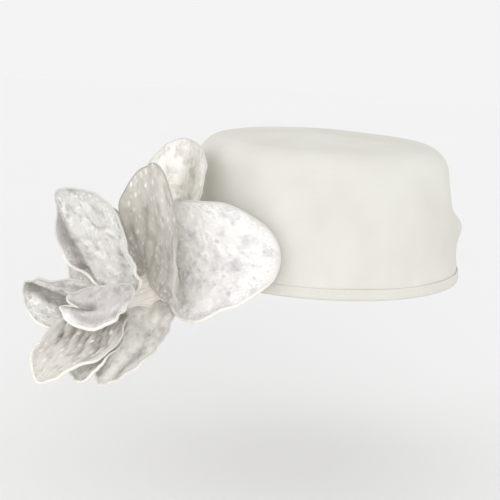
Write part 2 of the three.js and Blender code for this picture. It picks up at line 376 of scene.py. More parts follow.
# Flower's button and throat. A small padded button, covered in beige cloth, is sewn to the side of
# the crown, and a sleeve of the same cloth is gathered from it out to the inner petals and hangs slack
# underneath. Every petal is sewn to one or the other.
FLOWER_MIDDLE = Vector((-77, -46, -2)) * MM
FLOWER_FACES = Vector((-0.8, -0.58, -0.12)).normalized()
BUTTON_RADIUS = 14 * MM
BUTTON_BACK_RING = 0.6
BUTTON_BACK = -16 * MM
BUTTON_FRONT = -5 * MM
BUTTON_EDGE = 4 * MM
BUTTON_CORNER = BUTTON_EDGE / 3
SEWN_GAP = 0.3 * MM
HEM_STANDS_OUT = 0.85 * MM
THROAT_RADIUS = 8 * MM
THROAT_END_RADIUS = 5 * MM
THROAT_END = 24 * MM
THROAT_SLACK = 3 * MM
THROAT_LEANS = -6 * MM
THROAT_CLOTH = 0.8 * MM
THROAT_ALONG = 48
PLEATS = 19
PLEAT_DEPTH = 0.5 * MM
PLEAT_WANDER = 1.6
PLEATS_FADE = 0.6
RUCK_DEPTH = 1.5 * MM
RUCKS_ROUND = 1.3
RUCKS_ALONG = 5.5
BEIGE_SHADE = (234, 228, 219)
BEIGE_LIGHT = (250, 246, 239)
BEIGE_ROUGHNESS = 0.75
BEIGE_SHEEN = 0.15
BEIGE_THREAD = 0.8 * MM
BEIGE_STREAKS = (1400, 60, 1)
BEIGE_FADING = 120
STREAKS_TELL = 0.6
FADING_TELLS = 0.4
BEIGE_EMBOSS = 0.35
BEIGE_RELIEF = 0.15 * MM

towards_front = Vector((0, 0, 1)).cross(FLOWER_FACES).normalized()
flower_up = FLOWER_FACES.cross(towards_front)
flower_turn = Matrix((towards_front, flower_up, FLOWER_FACES)).transposed().to_4x4()
flower_frame = Matrix.Translation(FLOWER_MIDDLE) @ flower_turn


def seat_on_wall(bm):
    """Pushes what reaches into the crown's wall back out, so that it lies along the wall."""
    stretch = RIM_HALF_WIDTH / RIM_HALF_DEPTH
    for vert in bm.verts:
        away = math.hypot(vert.co.x, vert.co.y * stretch)
        clear = wall_out(vert.co.z) + HEM_STANDS_OUT + SEWN_GAP
        if away < clear:
            vert.co.x *= clear / away
            vert.co.y *= clear / away


def out_and_along(vert):
    """How far a corner is from the button's middle line, and along it, in one."""
    return vert.co.z + math.hypot(vert.co.x, vert.co.y)


beige_cloth, tree, shader = new_finish("beige_cloth", BEIGE_ROUGHNESS, BEIGE_SHEEN)
streaks = speckle(tree, cut_place(tree, BEIGE_STREAKS), 1, detail=3)
fading = speckle(tree, cut_place(tree), BEIGE_FADING, detail=2)
tone_shift = blend(tree, streaks, STREAKS_TELL, fading, FADING_TELLS)
paint(tree, shader, span(tree, tone_shift, *NOISE_MOSTLY, 0, 1), dye(BEIGE_SHADE), dye(BEIGE_LIGHT))
raised = combine(tree, "ADD", weave(tree, BEIGE_THREAD), streaks)
emboss(tree, shader, raised, BEIGE_EMBOSS, BEIGE_RELIEF)

bm = bmesh.new()
button_section = (
    (0, BUTTON_BACK),
    (BUTTON_RADIUS * BUTTON_BACK_RING, BUTTON_BACK),
    (BUTTON_RADIUS, BUTTON_BACK),
    (BUTTON_RADIUS, BUTTON_FRONT - BUTTON_EDGE),
    (BUTTON_RADIUS - BUTTON_CORNER, BUTTON_FRONT - BUTTON_CORNER),
    (BUTTON_RADIUS - BUTTON_EDGE, BUTTON_FRONT),
    (0, BUTTON_FRONT),
)
draw_section(bm, button_section)
spin_round(bm)
keep_round_cut(bm, BUTTON_RADIUS, out_and_along)
for vert in bm.verts:
    turn = math.atan2(vert.co.y, vert.co.x)
    share = math.hypot(vert.co.x, vert.co.y) / BUTTON_RADIUS
    vert.co.z += PLEAT_DEPTH * share * math.cos(PLEATS * turn + math.sin(3 * turn))
bmesh.ops.transform(bm, matrix=flower_frame, verts=bm.verts)
seat_on_wall(bm)
button = finish_piece(bm, "flower_button", beige_cloth)

bm = bmesh.new()
bmesh.ops.create_grid(bm, x_segments=CROWN_AROUND, y_segments=THROAT_ALONG, size=1)
throat_length = THROAT_END - BUTTON_FRONT
cut = bm.loops.layers.uv.new("cut")
for face in bm.faces:
    for loop in face.loops:
        place = loop.vert.co
        loop[cut].uv = (place.x * math.pi * THROAT_RADIUS, place.y * throat_length / 2)
for vert in bm.verts:
    turn = math.pi * vert.co.x
    share = (vert.co.y + 1) / 2
    middle = math.sin(math.pi * share)
    below = max(-math.sin(turn), 0)
    slack = THROAT_SLACK * middle * below
    pleat = PLEAT_DEPTH * math.cos(PLEATS * turn + PLEAT_WANDER * math.sin(2 * turn + 3 * share))
    ruck_place = (RUCKS_ROUND * math.cos(turn), RUCKS_ROUND * math.sin(turn), RUCKS_ALONG * share)
    ruck = RUCK_DEPTH * noise.noise(ruck_place)
    drawn_in = pleat * (1 - PLEATS_FADE * middle) + ruck * middle
    out = THROAT_RADIUS + (THROAT_END_RADIUS - THROAT_RADIUS) * share + drawn_in
    along = BUTTON_FRONT + throat_length * share
    vert.co = (out * math.cos(turn), out * math.sin(turn) + THROAT_LEANS * share - slack, along)
bmesh.ops.remove_doubles(bm, verts=bm.verts, dist=MERGE)
bmesh.ops.recalc_face_normals(bm, faces=bm.faces)
bmesh.ops.transform(bm, matrix=flower_frame, verts=bm.verts)
seat_on_wall(bm)
throat = finish_piece(bm, "flower_throat", beige_cloth)
thicken(throat, THROAT_CLOTH, BEHIND)
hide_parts("flower_base")

# Petals. Each is cut double from lace, brocade or satin, with a wire in a thin rolled satin edge that holds
# its shape, and is gathered at its foot and sewn to the button or to the throat.
# Sizes without MM are millimetres here, and angles in the tables are degrees.
PETAL_CLOTH = 0.7
BOTH_SIDES = 0
PETAL_MESH = 0.42
PIPING_RADIUS = 0.5
PIPING_FULLER_BELOW = 0.7
PIPING_STEPS = 200
TIER_MIDDLE = {"outer": Vector((0, 0, 0)), "inner": Vector((0, -6, 24))}
SHAPE_COLUMNS = (
    "name", "tier", "clock", "ring", "aside", "height", "lift", "curl", "length", "width",
    "foot", "tip", "cup", "roll", "sway", "ruffle", "waves",
)
SHAPE_ROWS = (
    ("petal_front", "outer", 61, 6.5, 0, 4.5, -8, -46, 68, 58, 0.27, 0.48, 15, 0, 9, 1.0, 3),
    ("petal_top", "outer", -2, 8.5, 4.5, -2, -9, -22, 61.5, 46, 0.8, 0.5, 30, -10, -8, 1.5, 3),
    ("petal_shade", "outer", 42, 4.2, 3.4, 9.6, 2, -8, 52, 56, 0.62, 0.8, 26, -5, -32, 1.5, 4),
    ("petal_hem", "outer", 176, 10.9, 2.4, 4, 44, -10, 51, 46, 0.24, 0.65, 25, 20, 9, 1.5, 4),
    ("petal_back", "outer", 278, 7.5, 0, 1, 10, -8, 58, 62, 0.55, 0.5, 34, 0, 0, 1.5, 3),
    ("petal_upper", "inner", 13, 4, 1.2, 2.8, 20, -8, 55, 43, 0.38, 0.32, 25, -30, -15, 1.5, 4),
    ("petal_far", "inner", 306, 5.8, 0, -2.4, 14, -4, 44, 46, 0.5, 0.45, 30, 0, 0, 1.5, 3),
    ("petal_left", "inner", 252, 5.6, 0, 0, 42, 0, 50, 32.5, 0.6, 0.45, 68, 0, 9, 1.0, 3),
    ("petal_lower", "inner", 163, 4.2, 0, 2.9, 57, -12, 46, 39, 0.5, 0.6, 30, 32, 33, 1.5, 4),
    ("petal_under", "inner", 182, 6.5, -2.5, -2, 44, -6, 43, 31, 0.95, 0.5, 20, 3, 8, 1.5, 3),
    ("petal_throat", "inner", 138, -4.2, -6.8, 7.2, 40, -10, 24, 42, 0.4, 0.4, 40, 45, 0, 1.0, 3),
)
# What each petal is cut from and edged with, the gathers at its foot and the share of its length that they
# reach, and how deep a notch is cut into one side of it.
CLOTH_COLUMNS = ("name", "finish", "edging", "gathers", "drawn", "notch")
CLOTH_ROWS = (
    ("petal_front", "white", "cream", 9, 0.3, 0),
    ("petal_top", "ivory", "cream", 7, 0.6, 0),
    # petal_shade's taupe brocade is partly its own tone and partly painted shade.
    ("petal_shade", "taupe", "taupe", 13, 0.9, 0),
    # petal_hem is cut from the pale lace, painted lighter as painted light because it lies in shade.
    ("petal_hem", "pale", "cream", 9, 0.4, 0),
    # petal_back is cut from the taupe brocade as painted shade, so that it reads as the shadow of petal_shade
    # beside it.
    ("petal_back", "taupe", "taupe", 9, 0.6, 0),
    ("petal_upper", "pearl", "cream", 7, 0.5, 0),
    ("petal_far", "pearl", "cream", 7, 0.6, 0),
    ("petal_left", "pearl", "cream", 7, 0.6, 0),
    ("petal_lower", "gathered", "cream", 19, 1.2, 0),
    ("petal_under", "pearl", "cream", 7, 0.6, 0),
    ("petal_throat", "mauve", "cream", 9, 0.6, 0.4),
)
# Folds in the cloth, each along a line between two places: across the petal from -1 to 1, and a share of
# its length. Wide is half the fold's width, and deep is how far it goes in, or out where it is below 0.
# Where a fold goes in, its cloth is also painted darker, as painted shade.
FOLD_COLUMNS = ("petal", "from_across", "from_share", "to_across", "to_share", "wide", "deep")
FOLD_ROWS = (
    ("petal_front", -0.45, 0.1, -0.55, 0.85, 6, -1.2),
    ("petal_front", 0.1, 0.45, 0.45, 0.75, 5, 0.9),
    ("petal_front", 0.75, 0.25, 0.85, 0.65, 4, -1.0),
    ("petal_front", 0.9, 0.15, 0.85, 0.5, 5, 0.9),
    ("petal_top", -0.4, 0.2, -0.4, 0.9, 4, -1.2),
    ("petal_top", 0.6, 0.1, 0.6, 0.95, 9, 2.0),
    ("petal_top", -0.45, 0.66, -0.15, 0.72, 1.6, 1.3),
    ("petal_shade", -0.5, 0.4, -0.45, 0.8, 3, 0.6),
    ("petal_shade", 0.15, 0.2, 0.1, 0.9, 3, -1.0),
    ("petal_shade", 0.75, 0.35, 0.7, 0.8, 2.5, 1.8),
    ("petal_hem", -0.9, 0.36, 0.9, 0.3, 2.0, 0.9),
    ("petal_hem", 0.1, 0.45, 0.0, 0.95, 4, -1.4),
    ("petal_hem", -0.5, 0.5, -0.6, 0.9, 3, 1.7),
    ("petal_hem", 0.5, 0.6, 0.4, 0.95, 4.5, 2.6),
    ("petal_back", -0.4, 0.15, -0.4, 0.85, 4, 1.6),
    ("petal_back", 0.1, 0.15, 0.1, 0.9, 5, -1.8),
    ("petal_back", 0.55, 0.2, 0.5, 0.8, 4, 1.4),
    ("petal_upper", -0.98, 0.1, -1.0, 0.8, 3.6, 2.5),
    ("petal_upper", -0.15, 0.74, 0.05, 0.64, 1.3, 1.1),
    ("petal_upper", 0.05, 0.64, 0.5, 0.7, 1.3, 1.1),
    ("petal_upper", 0.4, 0.15, 0.6, 0.5, 4, 1.0),
    ("petal_upper", -0.35, 0.2, -0.3, 0.6, 5, -1.2),
    ("petal_far", -0.35, 0.15, -0.4, 0.85, 4, 1.4),
    ("petal_far", 0.2, 0.15, 0.25, 0.9, 4, -1.4),
    ("petal_left", 0.7, 0.9, -0.5, 0.3, 4.2, 3.4),
    ("petal_left", -0.6, 0.6, -0.7, 0.85, 3, -1.0),
    ("petal_lower", -0.35, 0.26, -0.85, 0.5, 1.2, 1.2),
    ("petal_lower", -0.1, 0.24, -0.65, 0.56, 1.4, 1.5),
    ("petal_lower", 0.12, 0.22, -0.42, 0.54, 1.2, 1.3),
    ("petal_lower", 0.34, 0.22, -0.2, 0.62, 1.6, 1.7),
    ("petal_lower", 0.54, 0.24, 0.06, 0.58, 1.2, 1.4),
    ("petal_lower", 0.74, 0.28, 0.28, 0.64, 1.5, 1.6),
    ("petal_lower", 0.94, 0.34, 0.55, 0.64, 1.2, 1.3),
    ("petal_under", 0.0, 0.2, 0.0, 0.9, 4, -0.6),
    ("petal_throat", 1.1, 0.5, 0.2, 0.5, 2.4, 3.4),
    ("petal_throat", -0.4, 0.1, -0.3, 0.9, 3, -1.2),
    ("petal_throat", -0.5, 0.75, 0.5, 0.8, 2.5, 1.2),
)
FOLD_STARTS = (-0.25, 0.15)
FOLD_ENDS = (0.8, 1.2)
EDGE_WANDER = 0.045
EDGE_TURNS = 9
EDGE_SIDES_DIFFER = 2
EDGE_FINER = 2.3
NOTCH_AT = 0.5
NOTCH_HALF = 0.07
NOTCH_FADES = (0, 0.8)
SLACK_SIZE = 15
SLACK_DEPTH = 0.9
SLACK_STARTS = (0.04, 0.25)
CREASE_ROWS = ((8.0, 0.4), (3.6, 0.14))
CREASE_SHARPNESS = 2.5
CRINKLE_DEPTH = 1.6
CRINKLES = 3.2
GATHER_DEPTH = 0.9
GATHERS_START = (0.03, 0.16)
GATHERS_FADE = 0.1
ENDS = 0.02
FACES_INSIDE = 0.97
FACES_STEP = 0.02
LOW_FADES = (-0.2, 0.6)
TINY = 1e-6


def rows_as_pieces(columns, rows):
    """Each row of a table with its values under their column's names."""
    return [SimpleNamespace(**dict(zip(columns, row))) for row in rows]


def smooth_step(low, high, value):
    """0 below the low value, 1 above the high one, and a smooth rise between them."""
    share = np.clip((value - low) / (high - low), 0, 1)
    return share * share * (3 - 2 * share)


def petal_outline(petal, share):
    """Half of a petal's width, as a share of its widest, at a share of its length."""
    widest = petal.foot / (petal.foot + petal.tip)
    most = widest**petal.foot * (1 - widest) ** petal.tip
    return share**petal.foot * (1 - share) ** petal.tip / most


def petal_cut(petal, x, y):
    """The place on the flat cut petal of a place on a unit disc, x across and y from foot to tip."""
    share = np.clip((y + 1) / 2, 0, 1)
    across = np.clip(x / np.sqrt(np.maximum(1 - y * y, TINY)), -1, 1)
    turn = petal.clock + EDGE_TURNS * share + EDGE_SIDES_DIFFER * np.sign(x)
    hand_cut = 1 + EDGE_WANDER * (np.sin(turn) + np.sin(EDGE_FINER * turn + 1)) / 2
    notched = np.exp(-(((share - NOTCH_AT) / NOTCH_HALF) ** 2)) * smooth_step(*NOTCH_FADES, across)
    half = petal.width / 2 * petal_outline(petal, share) * hand_cut * (1 - petal.notch * notched)
    return half * across, petal.length * share


def petal_bend(petal, x, y):
    """The cut petal bent to its shape, in the petal's own frame: aside, out from the flower, and up."""
    aside_flat, along = petal_cut(petal, x, y)
    share = along / petal.length
    cup_radius = petal.width / 2 / math.radians(petal.cup)
    round_it = np.arctan2(x, y)
    wave = petal.ruffle * np.hypot(x, y) ** 3 * np.cos(petal.waves * round_it + math.radians(petal.clock))
    cupped = cup_radius * np.sin(aside_flat / cup_radius)
    risen = cup_radius * (1 - np.cos(aside_flat / cup_radius)) + wave
    roll = math.radians(petal.roll)
    aside = petal.aside + cupped * math.cos(roll) - risen * math.sin(roll) + petal.sway * share * share
    rise = risen * math.cos(roll) + cupped * math.sin(roll)
    lift = math.radians(petal.lift)
    curl = math.radians(petal.curl) or TINY
    lean = lift + curl * share
    bend_radius = petal.length / curl
    out = petal.ring + bend_radius * (np.sin(lean) - math.sin(lift)) - rise * np.sin(lean)
    up = petal.height + bend_radius * (math.cos(lift) - np.cos(lean)) + rise * np.cos(lean)
    return np.stack((aside, out, up), axis=1)


def petal_faces(petal, x, y):
    """The way that the bent cloth faces, measured a little inside its edge."""
    near_x = FACES_INSIDE * x
    near_y = FACES_INSIDE * y
    step = FACES_STEP
    across = petal_bend(petal, near_x + step, near_y) - petal_bend(petal, near_x - step, near_y)
    along = petal_bend(petal, near_x, near_y + step) - petal_bend(petal, near_x, near_y - step)
    faces = np.cross(across, along)
    return faces / np.linalg.norm(faces, axis=1, keepdims=True)


def cloth_noise(across, along, seed):
    """Smooth noise over places on a petal, from -1 to 1, of its own for each seed."""
    return np.array([noise.noise((a, b, seed)) for a, b in zip(across, along)])


def fold_depth(petal, side, along):
    """How far the petal's own folds press its cloth in at places on the flat cut."""
    depth = np.zeros_like(side)
    for fold in folds:
        if fold.petal != petal.name:
            continue
        ends = []
        for across, share in ((fold.from_across, fold.from_share), (fold.to_across, fold.to_share)):
            half = petal.width / 2 * petal_outline(petal, share)
            ends.append(np.array((half * across, petal.length * share)))
        line = ends[1] - ends[0]
        walk = ((side - ends[0][0]) * line[0] + (along - ends[0][1]) * line[1]) / (line @ line)
        beside = ((along - ends[0][1]) * line[0] - (side - ends[0][0]) * line[1]) / np.linalg.norm(line)
        fading = smooth_step(*FOLD_STARTS, walk) * (1 - smooth_step(*FOLD_ENDS, walk))
        depth += fold.deep * fading * np.exp(-((beside / fold.wide) ** 2))
    return depth


def petal_slack(petal, x, y):
    """How far the cloth stands out of its bent shape, or in: folds, gathers, dents and creases."""
    side, along = petal_cut(petal, x, y)
    share = along / petal.length
    off_the_ends = np.clip(share, ENDS, 1 - ENDS)
    half = np.maximum(petal.width / 2 * petal_outline(petal, off_the_ends), 1)
    fan = np.cos(math.pi * petal.gathers * side / half / 2 + math.radians(petal.clock))
    drawn_in = 1 - smooth_step(GATHERS_FADE, petal.drawn, share)
    gathers = GATHER_DEPTH * fan * smooth_step(*GATHERS_START, share) * drawn_in
    slack = SLACK_DEPTH * cloth_noise(side / SLACK_SIZE, along / SLACK_SIZE, petal.clock)
    for size, depth in CREASE_ROWS:
        ridges = np.abs(cloth_noise(side / size, along / size, petal.clock + size))
        slack += depth * (1 - CREASE_SHARPNESS * ridges)
    slack += CRINKLE_DEPTH * np.hypot(x, y) ** 5 * cloth_noise(CRINKLES * x, CRINKLES * y, petal.clock)
    return gathers + smooth_step(*SLACK_STARTS, share) * (slack - fold_depth(petal, side, along))


def petal_points(petal, x, y, raised):
    """Where places of the petal's cloth lie, raised by a little, in the petal's own frame."""
    stands = petal_slack(petal, x, y) + raised
    return petal_bend(petal, x, y) + petal_faces(petal, x, y) * stands[:, None]


def petal_place(petal):
    """Where a petal's own frame is on the hat, from millimetres to metres."""
    to_tier = Matrix.Translation(TIER_MIDDLE[petal.tier] * MM)
    turned = to_tier @ Matrix.Rotation(-math.radians(petal.clock), 4, "Z")
    return flower_frame @ turned @ Matrix.Scale(MM, 4)


# The figure in the cloth, drawn on the flat cut. The lace has open flowers and leaves on wandering stems,
# with dots between them, eyelets and a scalloped border. The brocade has short stitches of silver thread,
# and the satin a few leaves. Pairs of values are the two ends of a smooth rise or fall.
FLOWER_SPACING = 7.6
FLOWER_JITTER = 1.8
FLOWER_SIZE = 3.6
FLOWER_LOBES = 5
FLOWER_WAIST = 0.68
FLOWER_LOBE = 0.32
FLOWER_SOFT = 0.5
FLOWER_RING = (0.8, 1.2)
FLOWER_KNOT = (0.35, 0.7)
LEAF_HALF_LONG = 2.1
LEAF_HALF_WIDE = 0.9
LEAF_SPREAD = 1.05
LEAF_SOFT = 0.4
STEM_SPACING = 7.0
STEM_HALF = 0.05
DOT_SPACING = 2.4
DOT_RADIUS = 0.45
DOT_SHARE = 0.55
DASH_SPACING = 4.2
DASH_JITTER = 1.8
DASH_HALF_LONG = 1.6
DASH_HALF_WIDE = 0.9
DASH_CORE = 0.4
DASH_TURN = 0.5
EYELET_SPACING = 6.6
EYELET_JITTER = 2.6
EYELET_RADIUS = 2.2
EYELET_CORE = 0.44
SMALLEST = 0.6
RIM_STEPS = 400
SCALLOP = 3.6
SCALLOP_WAIST = 0.6
SCALLOP_BOW = 0.4
SCALLOP_LINE = (0.008, 0.022)
SCALLOP_DOT = (0.012, 0.026)
SCALLOP_DOT_AT = (0.75, 0.95)
BORDER = 0.15
BORDER_SOFT = 0.01
BORDER_TINT = 0.32
FADING_SIZE = 12
LACE_FADES = (-0.9, 0.3)
BORDER_FADES = (-0.6, 0.4)
EYELETS_FADE = (-0.2, 0.2)
DASHES_FADE = (-0.55, 0.15)
GAPS_FADE = (0, 0.4)
PALE_TIP = 0.45
PALE_TIP_FROM = (0.5, 0.85)
SATIN_LEAF_SHARE = 0.55
SATIN_BAND = (0.75, 0.9)
SATIN_BAND_FROM = (-0.1, 0.4)
RELIEF = 0.22


def small_flower(x, y):
    """A five-petalled flower round an open ring with a knot in it."""
    away = np.hypot(x, y)
    wave = np.abs(np.cos(FLOWER_LOBES / 2 * np.arctan2(y, x)))
    lobes = FLOWER_SIZE * (FLOWER_WAIST + FLOWER_LOBE * wave)
    petals = smooth_step(0, FLOWER_SOFT, lobes - away) * smooth_step(*FLOWER_RING, away)
    return np.maximum(petals, 1 - smooth_step(*FLOWER_KNOT, away))


def leaf_spray(x, y):
    """Three leaves that spread from one stem."""
    spray = np.zeros_like(x)
    for turn in (-LEAF_SPREAD, 0, LEAF_SPREAD):
        long = y * math.cos(turn) + x * math.sin(turn) - LEAF_HALF_LONG
        wide = np.abs(x * math.cos(turn) - y * math.sin(turn))
        room = LEAF_HALF_WIDE * (1 - np.minimum((long / LEAF_HALF_LONG) ** 2, 1)) - wide
        spray = np.maximum(spray, smooth_step(0, LEAF_SOFT, room))
    return spray


def silver_dash(x, y):
    """A short raised stitch of thread."""
    return 1 - smooth_step(DASH_CORE, 1, np.hypot(x / DASH_HALF_WIDE, y / DASH_HALF_LONG))


def eyelet(x, y):
    """A small round hole."""
    return 1 - smooth_step(EYELET_CORE, EYELET_RADIUS, np.hypot(x, y))


def scatter(petal, side, along, spacing, jitter, shapes, turned=math.pi):
    """Shapes in turn over the whole of the flat cloth, each moved, turned and made smaller by some."""
    draw = np.random.default_rng(round(abs(petal.clock)) + 1)
    figure = np.zeros_like(side)
    columns = math.ceil(petal.width / 2 / spacing)
    rows = math.ceil(petal.length / spacing)
    for row in range(rows + 1):
        for column in range(-columns, columns + 1):
            moved = draw.uniform(-jitter, jitter, 2)
            turn = draw.uniform(-turned, turned)
            size = draw.uniform(SMALLEST, 1)
            x = side - (column + row % 2 / 2) * spacing - moved[0]
            y = along - row * spacing - moved[1]
            turned_x = x * math.cos(turn) - y * math.sin(turn)
            turned_y = x * math.sin(turn) + y * math.cos(turn)
            shape = shapes[(row + column) % len(shapes)]
            figure = np.maximum(figure, shape(turned_x / size, turned_y / size))
    return figure


def scalloped_border(petal, x, y):
    """A row of bows with a dot in each, along the petal's edge, and where the border is."""
    turns = np.linspace(-math.pi, math.pi, RIM_STEPS)
    rim_side, rim_along = petal_cut(petal, np.sin(turns), np.cos(turns))
    steps = np.hypot(np.diff(rim_side), np.diff(rim_along))
    walked = np.interp(np.arctan2(x, y), turns, np.concatenate(((0,), np.cumsum(steps))))
    bow = np.abs(np.sin(math.pi * walked / SCALLOP))
    inside = 1 - BORDER * (SCALLOP_WAIST + SCALLOP_BOW * bow)
    away = np.hypot(x, y)
    line = 1 - smooth_step(*SCALLOP_LINE, np.abs(away - inside))
    from_dots = np.abs(away - 1 + BORDER / 2)
    dot = smooth_step(*SCALLOP_DOT_AT, bow) * (1 - smooth_step(*SCALLOP_DOT, from_dots))
    return np.maximum(line, dot), smooth_step(-BORDER_SOFT, BORDER_SOFT, away - inside)


def lace_figure(petal, side, along, x, y):
    """The lace's flowers, leaves, stems, dots and border, up to 1, and its eyelets, down to -1."""
    dots = np.hypot(*(np.mod((side, along), DOT_SPACING) - DOT_SPACING / 2))
    figure = DOT_SHARE * (1 - smooth_step(DOT_RADIUS / 2, DOT_RADIUS, dots))
    stems = np.abs(cloth_noise(side / STEM_SPACING, along / STEM_SPACING, petal.clock + STEM_SPACING))
    figure = np.maximum(figure, 1 - smooth_step(STEM_HALF / 2, STEM_HALF, stems))
    shapes = (small_flower, leaf_spray)
    figure = np.maximum(figure, scatter(petal, side, along, FLOWER_SPACING, FLOWER_JITTER, shapes))
    fading = cloth_noise(side / FADING_SIZE, along / FADING_SIZE, petal.clock)
    border, within = scalloped_border(petal, x, y)
    eyelets = scatter(petal, side, along, EYELET_SPACING, EYELET_JITTER, (eyelet,))
    eyelets *= smooth_step(*EYELETS_FADE, fading)
    ground = figure * smooth_step(*LACE_FADES, fading) * (1 - within) - BORDER_TINT * within
    scallops = border * smooth_step(*BORDER_FADES, fading) * (1 + BORDER_TINT) - BORDER_TINT
    return np.maximum(ground, scallops) * (1 - eyelets) - eyelets


def brocade_figure(petal, side, along, x, y):
    """The brocade's silver stitches, which come and go, up to 1, and the dark gaps by them, down to -1."""
    stitches = scatter(petal, side, along, DASH_SPACING, DASH_JITTER, (silver_dash,), DASH_TURN)
    fading = cloth_noise(side / DASH_SPACING, along / DASH_SPACING, petal.clock)
    gaps = scatter(petal, side, along, EYELET_SPACING, EYELET_JITTER, (eyelet,))
    return stitches * smooth_step(*DASHES_FADE, fading) - gaps * smooth_step(*GAPS_FADE, -fading)


def gathered_figure(petal, side, along, x, y):
    """The brocade with a paler tip, past the end of its gathers."""
    tip = PALE_TIP * smooth_step(*PALE_TIP_FROM, along / petal.length)
    return np.maximum(brocade_figure(petal, side, along, x, y), tip)


def satin_figure(petal, side, along, x, y):
    """A few leaves in the satin and a pale band along its tip, from 0 to 1."""
    leaves = SATIN_LEAF_SHARE * scatter(petal, side, along, FLOWER_SPACING, FLOWER_JITTER, (leaf_spray,))
    band = smooth_step(*SATIN_BAND, np.hypot(x, y)) * smooth_step(*SATIN_BAND_FROM, y)
    return np.maximum(leaves, band)


# The finishes: the ground, the bright thread of the figure, and a darker tone for eyelets, streaks and
# patches and for the painted shade in folds, as the eye counts colours. A span takes its first two values to
# its last two.
FINISH_COLUMNS = ("name", "kind", "figure", "ground", "thread", "shadow", "roughness")
FINISH_ROWS = (
    ("white", "lace", lace_figure, (239, 237, 234), (254, 252, 248), (178, 174, 176), 0.6),
    ("ivory", "lace", lace_figure, (247, 244, 238), (254, 252, 248), (172, 165, 153), 0.6),
    # The pale lace is the white lace painted lighter, as painted light, for a petal that lies in shade.
    ("pale", "lace", lace_figure, (252, 249, 243), (255, 254, 251), (162, 157, 150), 0.6),
    # The pearl, taupe and gathered finishes are darker, partly as their own tone and partly as painted shade.
    ("pearl", "lace", lace_figure, (219, 217, 212), (247, 245, 240), (136, 133, 129), 0.55),
    ("taupe", "brocade", brocade_figure, (211, 207, 198), (250, 247, 241), (142, 137, 128), 0.5),
    ("gathered", "brocade", gathered_figure, (206, 202, 193), (246, 243, 237), (122, 117, 107), 0.5),
    ("mauve", "satin", satin_figure, (207, 202, 200), (236, 232, 229), (146, 140, 138), 0.45),
)
PETAL_SHEEN = 0.2
PETAL_STREAKS = (1300, 110, 1)
PETAL_MOTTLE = 125
PETAL_SPARKS = 1300
SPARK_SPAN = (0.3, 0.6, 0.55, 1)
STREAK_SPAN = (*NOISE_MOSTLY, 0, 0.25)
MOTTLE_SPAN = (0.5, 0.66, 0, 0.6)
# How deep a fold must be to be painted darker, as painted shade.
PAINTED_FOLD_SHADE_SPAN = (0.2, 2.4, 0, 1.1)
TONE_AND_PAINTED_SHADE_SPAN = (0.1, 1.4, 0, 0.9)
EYELET_SHADOW = 0.42
SILVER_METAL = 0.25
SILVER_GLOSS = 0.2
PETAL_THREAD = 0.7 * MM
PETAL_GRAIN_TURN = 0.3
PETAL_EMBOSS = 0.3
PETAL_RELIEF = 0.14 * MM
# The pipings' two tones: light, the painted light along a petal's lower edge, and dark, the painted shade
# along its upper edge.
PIPING_COLUMNS = ("name", "light", "dark")
PIPING_ROWS = (
    ("cream", (250, 246, 238), (214, 211, 205)),
    ("taupe", (204, 199, 189), (180, 175, 165)),
)
PIPING_ROUGHNESS = 0.5
PIPING_SHEEN = 0.25
PIPING_TWIST = 700
TWIST_SPAN = (0.3, 0.6, 0.7, 1)
PIPING_EMBOSS = 0.3
PIPING_RELIEF = 0.2 * MM


def kept_value(tree, name):
    """A value that a piece keeps at each corner of its mesh."""
    return add_node(tree, "ShaderNodeAttribute", {}, attribute_name=name).outputs["Fac"]


def figured_cloth(finish):
    """Figured cloth: a ground that varies along its threads, a figure in bright thread, and painted shade in
    folds.
    """
    material, tree, shader = new_finish(f"{finish.name}_{finish.kind}", finish.roughness, PETAL_SHEEN)
    shadow = dye(finish.shadow)
    figure = kept_value(tree, "figure")
    streaks = speckle(tree, cut_place(tree, PETAL_STREAKS), 1, detail=3)
    mottle = speckle(tree, cut_place(tree), PETAL_MOTTLE, detail=2)
    sparks = speckle(tree, cut_place(tree), PETAL_SPARKS, detail=1)
    figure_stands = span(tree, figure, 0, 1, 0, 1)
    threads = combine(tree, "MULTIPLY", figure_stands, span(tree, sparks, *SPARK_SPAN))
    woven = mix_colours(tree, threads, dye(finish.ground), dye(finish.thread))
    woven = mix_colours(tree, span(tree, figure, -1, 0, EYELET_SHADOW, 0), woven, shadow)
    # Streaks and patches are the cloth's own uneven tone; the fold depth added to them is painted shade in
    # the folds.
    tone_shift = combine(tree, "ADD", span(tree, streaks, *STREAK_SPAN), span(tree, mottle, *MOTTLE_SPAN))
    tone_shift = combine(tree, "ADD", tone_shift, span(tree, kept_value(tree, "painted_fold_shade"), *PAINTED_FOLD_SHADE_SPAN))
    paint(tree, shader, span(tree, tone_shift, *TONE_AND_PAINTED_SHADE_SPAN), woven, shadow)
    tree.links.new(combine(tree, "MULTIPLY", threads, SILVER_METAL), shader.inputs["Metallic"])
    gloss = combine(tree, "MULTIPLY", threads, SILVER_GLOSS)
    tree.links.new(combine(tree, "SUBTRACT", finish.roughness, gloss), shader.inputs["Roughness"])
    grain = weave(tree, PETAL_THREAD, PETAL_GRAIN_TURN)
    grain = combine(tree, "ADD", grain, combine(tree, "MULTIPLY", sparks, figure))
    emboss(tree, shader, combine(tree, "ADD", grain, streaks), PETAL_EMBOSS, PETAL_RELIEF)
    return material


def satin_piping(edging):
    """Satin rolled over a wire, its threads' twist showing: painted light along the lower edge, painted shade
    along the upper.
    """
    material, tree, shader = new_finish(f"{edging.name}_piping", PIPING_ROUGHNESS, PIPING_SHEEN)
    twist = speckle(tree, object_place(tree), PIPING_TWIST, detail=2)
    # Painted light and shade: paler where the edge lies low, darker where it lies high.
    pale = combine(tree, "MULTIPLY", kept_value(tree, "low"), span(tree, twist, *TWIST_SPAN))
    paint(tree, shader, pale, dye(edging.dark), dye(edging.light))
    emboss(tree, shader, twist, PIPING_EMBOSS, PIPING_RELIEF)
    return material


